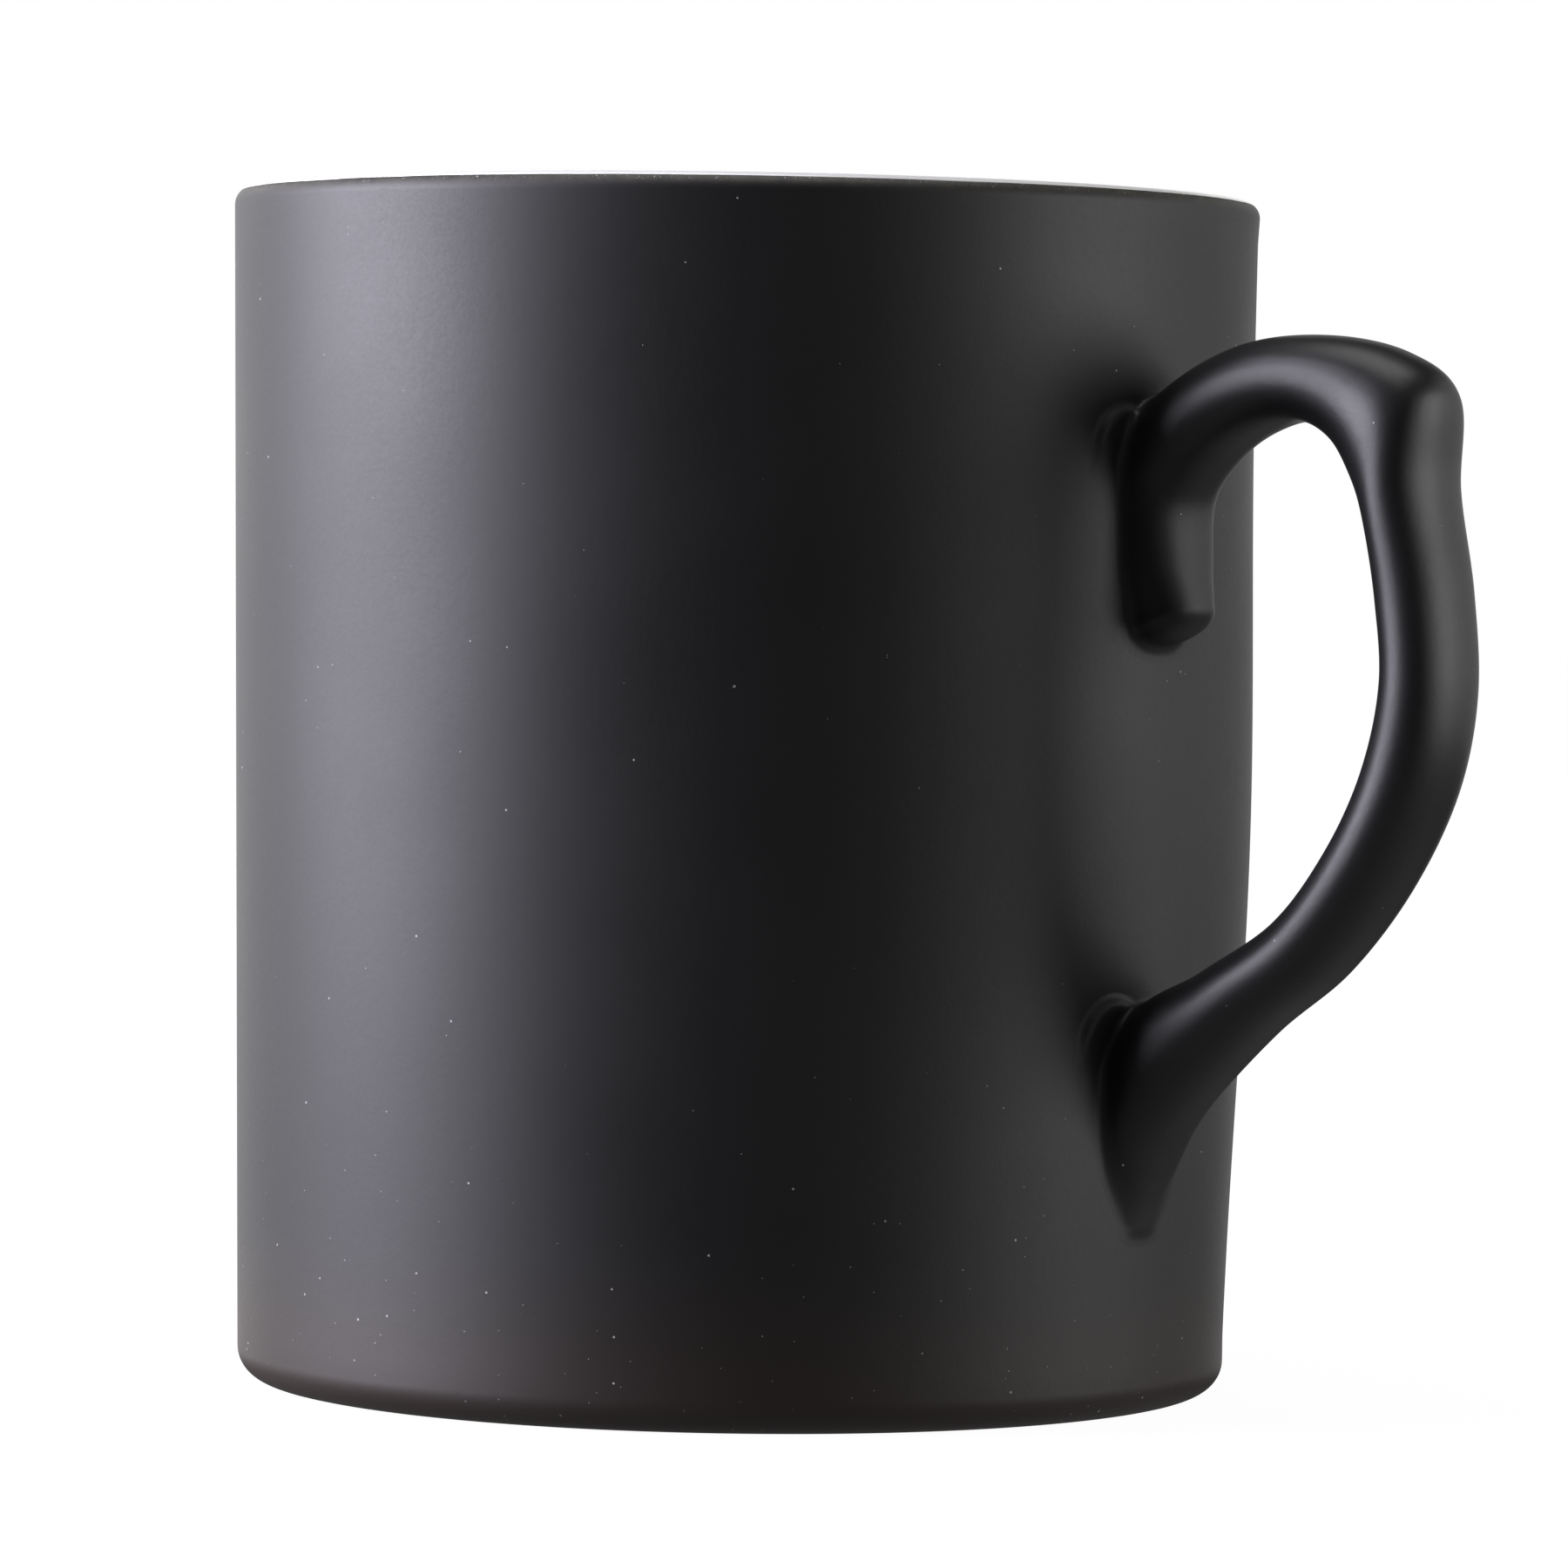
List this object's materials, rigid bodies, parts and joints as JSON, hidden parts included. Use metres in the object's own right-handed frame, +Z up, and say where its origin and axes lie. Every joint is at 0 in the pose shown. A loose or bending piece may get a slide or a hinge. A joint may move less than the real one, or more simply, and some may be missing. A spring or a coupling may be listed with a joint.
{
  "type": "mug",
  "caption": "Ceramic mug with a slightly tapered cup, satin black outside, white gloss inside, and a curled strap handle.",
  "frame": {"origin": "centre of the foot ring, on the plane that the mug rests on", "axes": "+Z up along the cup's axis, +X towards the handle, +Y across the handle"},
  "size_m": [0.109, 0.082, 0.095],
  "materials": {
    "bare_clay": "matte",
    "black_coat": "satin",
    "white_glaze": "gloss"
  },
  "bodies": {
    "root": {"cup_body": "bare_clay", "handle": "bare_clay", "upper_slip_joint": "black_coat", "lower_slip_joint": "black_coat", "outer_coat": "black_coat", "handle_coat": "black_coat", "liner_glaze": "white_glaze", "base_glaze": "white_glaze"}
  },
  "joints": []
}
